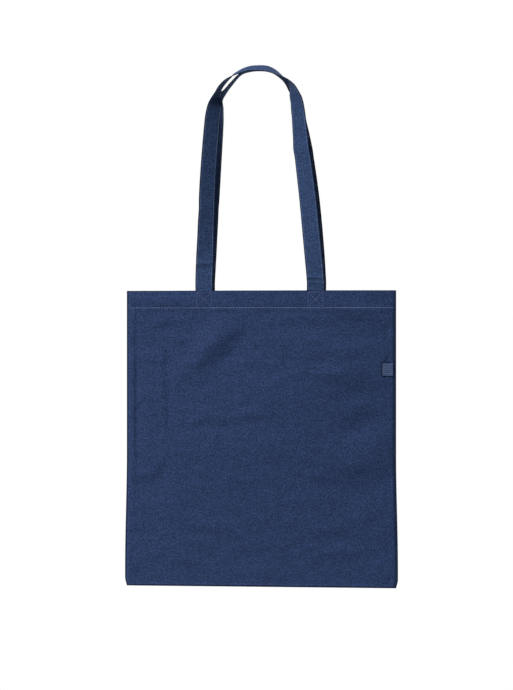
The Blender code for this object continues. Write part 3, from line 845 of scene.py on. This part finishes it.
def build_strap_stitches(name, side, route, finish):
    """The two lines of stitches along a strap's edges, on both of its faces."""
    shape = bmesh.new()
    frames = [f for f in strap_frames(side, route) if f[0].z > TOP_Z + STRAP_START]
    inset = STRAP_WIDTH / 2 - EDGE_STITCH_INSET
    for across in (-inset, inset):
        through = puffed(across, 1.5 * LAYER_PITCH) + STRAP_LAYER / 2 + STRAP_LIFT
        for face in (-1.0, 1.0):
            path, out = [], []
            for centre, width_way, thick_way in frames:
                shift = face * through + strap_dent(centre, across) * side
                path.append(centre + width_way * across + thick_way * shift)
                out.append(thick_way * face)
            sew(shape, path, out, *STRAP_STITCH)
    return piece(name, shape, finish)


# Finishes

def node(tree, kind, **values):
    """A shader node with some of its inputs and settings given by name."""
    made = tree.nodes.new(kind)
    for key, value in values.items():
        if key in made.inputs:
            made.inputs[key].default_value = value
        else:
            setattr(made, key, value)
    return made


def joined(tree, kind, left, right=None):
    """A math node on one or two values, of which each is a socket or a number."""
    made = node(tree, "ShaderNodeMath", operation=kind)
    for i, value in enumerate((left, right)):
        if isinstance(value, (int, float)):
            made.inputs[i].default_value = value
        elif value is not None:
            tree.links.new(value, made.inputs[i])
    return made.outputs[0]


def product(tree, values):
    """All the values multiplied."""
    total = values[0]
    for value in values[1:]:
        total = joined(tree, "MULTIPLY", total, value)
    return total


def noise(tree, place, scale, detail, roughness):
    """A noise between 0 and 1 on the flat cut; scale is in cells per metre."""
    made = node(tree, "ShaderNodeTexNoise", Scale=scale, Detail=detail, Roughness=roughness)
    tree.links.new(place, made.inputs["Vector"])
    return made.outputs["Fac"]


def stretched(tree, value, low, high, to_low, to_high):
    """A value from between low and high brought to between to_low and to_high."""
    made = node(tree, "ShaderNodeMapRange")
    for i, number in enumerate((low, high, to_low, to_high)):
        made.inputs[i + 1].default_value = number
    tree.links.new(value, made.inputs[0])
    return made.outputs[0]


def bonded_points(tree, place):
    """The small pressed points of a non-woven fabric, in staggered rows: 1 at a point."""
    split = node(tree, "ShaderNodeSeparateXYZ")
    tree.links.new(place, split.inputs[0])
    rate = 2 * math.pi / BOND_PITCH
    waves = []
    for axis in (0, 1):
        turned = joined(tree, "MULTIPLY", split.outputs[axis], rate)
        waves.append(joined(tree, "COSINE", turned))
    both = joined(tree, "MULTIPLY", waves[0], waves[1])
    return stretched(tree, both, 0.45, 0.85, 0.0, 1.0)


def painted_edge_shade(tree):
    """Painted shade and highlight near an outer edge: dark on the edge itself, where the cloth
    turns away from the light, and paler just inside it.
    """
    rim = node(tree, "ShaderNodeAttribute", attribute_name="rim")
    ramp = node(tree, "ShaderNodeValToRGB")
    stops = ramp.color_ramp.elements
    stops[0].position, stops[1].position = EDGE_SHADE_TONES[0][0], EDGE_SHADE_TONES[-1][0]
    for near, _ in EDGE_SHADE_TONES[1:-1]:
        stops.new(near)
    for stop, (_, tone) in zip(stops, EDGE_SHADE_TONES):
        stop.color = (tone, tone, tone, 1.0)
    tree.links.new(rim.outputs["Fac"], ramp.inputs[0])
    return joined(tree, "MULTIPLY", ramp.outputs[0], EDGE_SHADE_GAIN)


def new_finish(name, colour, roughness):
    """A material with its node tree and shader, which the finishes below go on from."""
    made = bpy.data.materials.new(name)
    made.use_nodes = True
    made.diffuse_color = (*colour, 1.0)
    shader = made.node_tree.nodes["Principled BSDF"]
    shader.inputs["Roughness"].default_value = roughness
    return made, made.node_tree, shader


def paint(tree, shader, colour, tone):
    """Gives the shader the colour, made darker and lighter by the tone."""
    mixed = node(tree, "ShaderNodeMix", data_type="RGBA", blend_type="MULTIPLY")
    mixed.inputs["Factor"].default_value = 1.0
    first, second = mixed.inputs[6], mixed.inputs[7]
    first.default_value = (*colour, 1.0)
    tree.links.new(tone, second)
    tree.links.new(mixed.outputs[2], shader.inputs["Base Color"])


def emboss(tree, shader, height, strength, distance):
    """Gives the shader a fine relief."""
    relief = node(tree, "ShaderNodeBump", Strength=strength, Distance=distance)
    tree.links.new(height, relief.inputs["Height"])
    tree.links.new(relief.outputs[0], shader.inputs["Normal"])


def cloth_finish(name, colour, sheen, roughness, seed):
    """Matt non-woven fabric: cloudy fibres, a fine mottle and rows of pressed points. The seed
    moves the pattern, so that two finishes differ."""
    made, tree, shader = new_finish(name, colour, roughness)
    chart = node(tree, "ShaderNodeUVMap", uv_map="flat_cut")
    moved = node(tree, "ShaderNodeMapping")
    moved.inputs["Location"].default_value = (seed, seed * 0.7, 0.0)
    tree.links.new(chart.outputs[0], moved.inputs["Vector"])
    place = moved.outputs[0]
    cloud = noise(tree, place, 26.0, 3.0, 0.55)
    patch = noise(tree, place, 120.0, 3.0, 0.6)
    mottle = noise(tree, place, 430.0, 3.0, 0.6)
    fibre = noise(tree, place, 1500.0, 2.0, 0.7)
    points = bonded_points(tree, place)
    paint(tree, shader, colour, product(tree, (
        stretched(tree, cloud, 0.3, 0.7, 0.965, 1.035),
        stretched(tree, mottle, 0.3, 0.7, 0.44, 1.56),
        stretched(tree, patch, 0.3, 0.7, 0.86, 1.14),
        stretched(tree, fibre, 0.2, 0.8, 0.93, 1.07),
        stretched(tree, points, 0.0, 1.0, 1.03, 0.86),
        # painted shade on the outer edges and a painted highlight just inside them
        painted_edge_shade(tree))))
    height = joined(tree, "SUBTRACT", stretched(tree, mottle, 0.2, 0.8, 0.0, 0.8), points)
    height = joined(tree, "ADD", height, stretched(tree, fibre, 0.2, 0.8, 0.0, 0.35))
    emboss(tree, shader, height, 0.5, 0.00016)
    shader.inputs["Specular IOR Level"].default_value = 0.0
    shader.inputs["Sheen Weight"].default_value = sheen
    shader.inputs["Sheen Roughness"].default_value = 0.45
    shader.inputs["Sheen Tint"].default_value = (0.55, 0.68, 1.0, 1.0)
    return made


def thread_finish(name, colour):
    """Smooth sewing thread with a little difference from stitch to stitch."""
    made, tree, shader = new_finish(name, colour, 0.55)
    place = node(tree, "ShaderNodeTexCoord")
    varied = noise(tree, place.outputs["Object"], 34.0, 4.0, 0.85)
    paint(tree, shader, colour, stretched(tree, varied, 0.3, 0.7, 0.45, 1.35))
    shader.inputs["Sheen Weight"].default_value = 0.2
    return made


def ribbon_finish(name, colour):
    """Ribbed ribbon: ribs run along it, with a fine weave between them. Its fold is darkened with
    painted shade, and it is a little paler near the seam."""
    made, tree, shader = new_finish(name, colour, 0.7)
    chart = node(tree, "ShaderNodeUVMap", uv_map="flat_cut")
    split = node(tree, "ShaderNodeSeparateXYZ")
    tree.links.new(chart.outputs[0], split.inputs[0])
    turns = [joined(tree, "MULTIPLY", split.outputs[axis], 2 * math.pi / pitch)
             for axis, pitch in ((1, 0.0031), (1, 0.0010), (0, 0.0005))]
    band, rib, weft = [joined(tree, "COSINE", turn) for turn in turns]
    wear = noise(tree, chart.outputs[0], 420.0, 2.0, 0.6)
    past_fold = joined(tree, "SUBTRACT", split.outputs[0], RIBBON_CUT[1] / 2)
    from_fold = joined(tree, "ABSOLUTE", past_fold)
    paint(tree, shader, colour, product(tree, (
        stretched(tree, rib, -1.0, 1.0, 0.86, 1.10),
        stretched(tree, wear, 0.3, 0.7, 0.75, 1.25),
        stretched(tree, band, -1.0, 1.0, 0.58, 1.36),
        # painted shade along the fold, standing in for the shadow under it
        stretched(tree, from_fold, 0.0024, 0.0032, 0.10, 1.0),
        stretched(tree, past_fold, 0.010, 0.0165, 1.0, 1.18))))
    emboss(tree, shader, joined(tree, "MULTIPLY", rib, weft), 0.4, 0.00008)
    shader.inputs["Specular IOR Level"].default_value = 0.12
    return made


# The bag

# Flat cut of the ribbon, in metres
RIBBON_CUT = (0.018, 0.033)

NAVY_NONWOVEN = cloth_finish("navy_nonwoven", (0.0188, 0.0320, 0.0785), 0.08, 0.88, 0.0)
NAVY_STRAP = cloth_finish("navy_strap", (0.0230, 0.0408, 0.0930), 0.10, 0.86, 3.1)
# the thread's own navy colour, made lighter than the cloth by a painted sheen
NAVY_THREAD = thread_finish("navy_thread", (0.088, 0.125, 0.240))
DARK_THREAD = thread_finish("dark_thread", (0.048, 0.074, 0.158))
BLUE_RIBBON = ribbon_finish("blue_ribbon", (0.043, 0.064, 0.132))
STITCH = build_stitch()


def build_bag():
    """Builds all pieces of the bag and hides the parts of model.glb that they stand for."""
    shell = build_shell(NAVY_NONWOVEN)
    right = build_allowance("seam_allowance_right", 1, NAVY_NONWOVEN)
    left = build_allowance("seam_allowance_left", -1, NAVY_NONWOVEN)
    hem = build_hem_stitches(NAVY_THREAD)
    boxes = build_box_stitches(DARK_THREAD)
    for made in (shell, right, left):
        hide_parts("bag_body")
    for name, node_name, side, route in (("front_strap", "front_handle", -1, FRONT_ROUTE),
                                         ("back_strap", "back_handle", 1, BACK_ROUTE)):
        strap = build_strap(name, side, route, NAVY_STRAP)
        thread = build_strap_stitches(name + "_stitches", side, route, NAVY_THREAD)
        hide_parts(node_name)
    ribbon = build_ribbon(BLUE_RIBBON)
    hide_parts("side_label")


# Studio

CAMERA_AZIMUTH = math.radians(4.35)
CAMERA_DISTANCE = 2.4
CAMERA_Z = -0.3876
CAMERA_LEFT = 0.0059         # how far the camera stands left of the line through the bag's middle
VIEW_HEIGHT = 0.9711         # what the picture's height takes in at the bag
FLOOR_Z = -1.05
FLOOR_RADIUS = 0.80
FLOOR_FADE = (0.35, 0.78)    # where the floor starts to fade into the white and where it has
SKY = (0.04, 0.27)           # strength of the surround's light from below and from above
LAMP_TARGET = (0.0, 0.0, -0.45)
# Lamps: name, place, size, power
LAMPS = (
    ("key", (-1.60, -2.60, 1.50), 0.8, 178.0),
    ("back", (0.70, 2.60, -0.40), 1.6, 50.0),
    ("top", (-0.20, -0.40, 2.30), 0.8, 30.0),
)


def aim(thing, target):
    """Turns a lamp or camera towards a point."""
    way = Vector(target) - thing.location
    thing.rotation_euler = way.to_track_quat("-Z", "Y").to_euler()


def build_camera():
    """The camera that gives the picture's view."""
    data = bpy.data.cameras.new("camera")
    data.sensor_width = 36.0
    data.lens = data.sensor_width * CAMERA_DISTANCE / VIEW_HEIGHT
    data.clip_start = 0.05
    camera = in_scene("camera", data)
    sine, cosine = math.sin(CAMERA_AZIMUTH), math.cos(CAMERA_AZIMUTH)
    shift = Vector((-cosine, -sine, 0.0)) * CAMERA_LEFT
    target = Vector((0.0, 0.0, CAMERA_Z)) + shift
    camera.location = target + Vector((sine, -cosine, 0.0)) * CAMERA_DISTANCE
    aim(camera, target)
    bpy.context.scene.camera = camera


def build_lamp(name, place, size, power):
    """A square soft lamp aimed at the bag."""
    data = bpy.data.lights.new(name, "AREA")
    data.size = size
    data.energy = power
    lamp = in_scene(name, data)
    lamp.location = place
    aim(lamp, LAMP_TARGET)


def build_world():
    """An even white surround: full white where it is seen, softer as light."""
    world = bpy.data.worlds.new("surround")
    world.use_nodes = True
    bpy.context.scene.world = world
    tree = world.node_tree
    back = tree.nodes["Background"]
    path = node(tree, "ShaderNodeLightPath")
    seen = joined(tree, "MAXIMUM", path.outputs["Is Camera Ray"], path.outputs["Is Glossy Ray"])
    seen = joined(tree, "MAXIMUM", seen, path.outputs["Is Transmission Ray"])
    way = node(tree, "ShaderNodeTexCoord")
    split = node(tree, "ShaderNodeSeparateXYZ")
    tree.links.new(way.outputs["Generated"], split.inputs[0])
    soft = stretched(tree, split.outputs[2], -0.6, 0.6, *SKY)
    full = joined(tree, "MAXIMUM", seen, soft)
    back.inputs["Color"].default_value = (1.0, 1.0, 1.0, 1.0)
    tree.links.new(full, back.inputs["Strength"])


def build_floor():
    """A pale round floor well below the bag, which fades into the white surround."""
    shape = bmesh.new()
    bmesh.ops.create_circle(shape, cap_ends=True, segments=96, radius=FLOOR_RADIUS)
    bmesh.ops.translate(shape, verts=shape.verts, vec=(0.0, 0.0, FLOOR_Z))
    mesh = ended("floor", shape)
    pale, tree, shader = new_finish("pale_floor", (0.88, 0.88, 0.88), 0.9)
    shader.inputs["Base Color"].default_value = pale.diffuse_color
    place = node(tree, "ShaderNodeTexCoord")
    flat = node(tree, "ShaderNodeMapping")
    flat.inputs["Scale"].default_value = (1.0, 1.0, 0.0)
    tree.links.new(place.outputs["Object"], flat.inputs["Vector"])
    away = node(tree, "ShaderNodeVectorMath", operation="LENGTH")
    tree.links.new(flat.outputs[0], away.inputs[0])
    glow = node(tree, "ShaderNodeEmission")
    path = node(tree, "ShaderNodeLightPath")
    faded = stretched(tree, away.outputs["Value"], *FLOOR_FADE, 0.0, 1.0)
    faded = joined(tree, "MULTIPLY", faded, path.outputs["Is Camera Ray"])
    mixed = node(tree, "ShaderNodeMixShader")
    tree.links.new(faded, mixed.inputs[0])
    tree.links.new(shader.outputs[0], mixed.inputs[1])
    tree.links.new(glow.outputs[0], mixed.inputs[2])
    tree.links.new(mixed.outputs[0], tree.nodes["Material Output"].inputs["Surface"])
    mesh.materials.append(pale)
    in_scene("floor", mesh)


build_bag()
build_camera()
for lamp_values in LAMPS:
    build_lamp(*lamp_values)
build_world()
build_floor()
bpy.context.scene.view_settings.view_transform = "Standard"
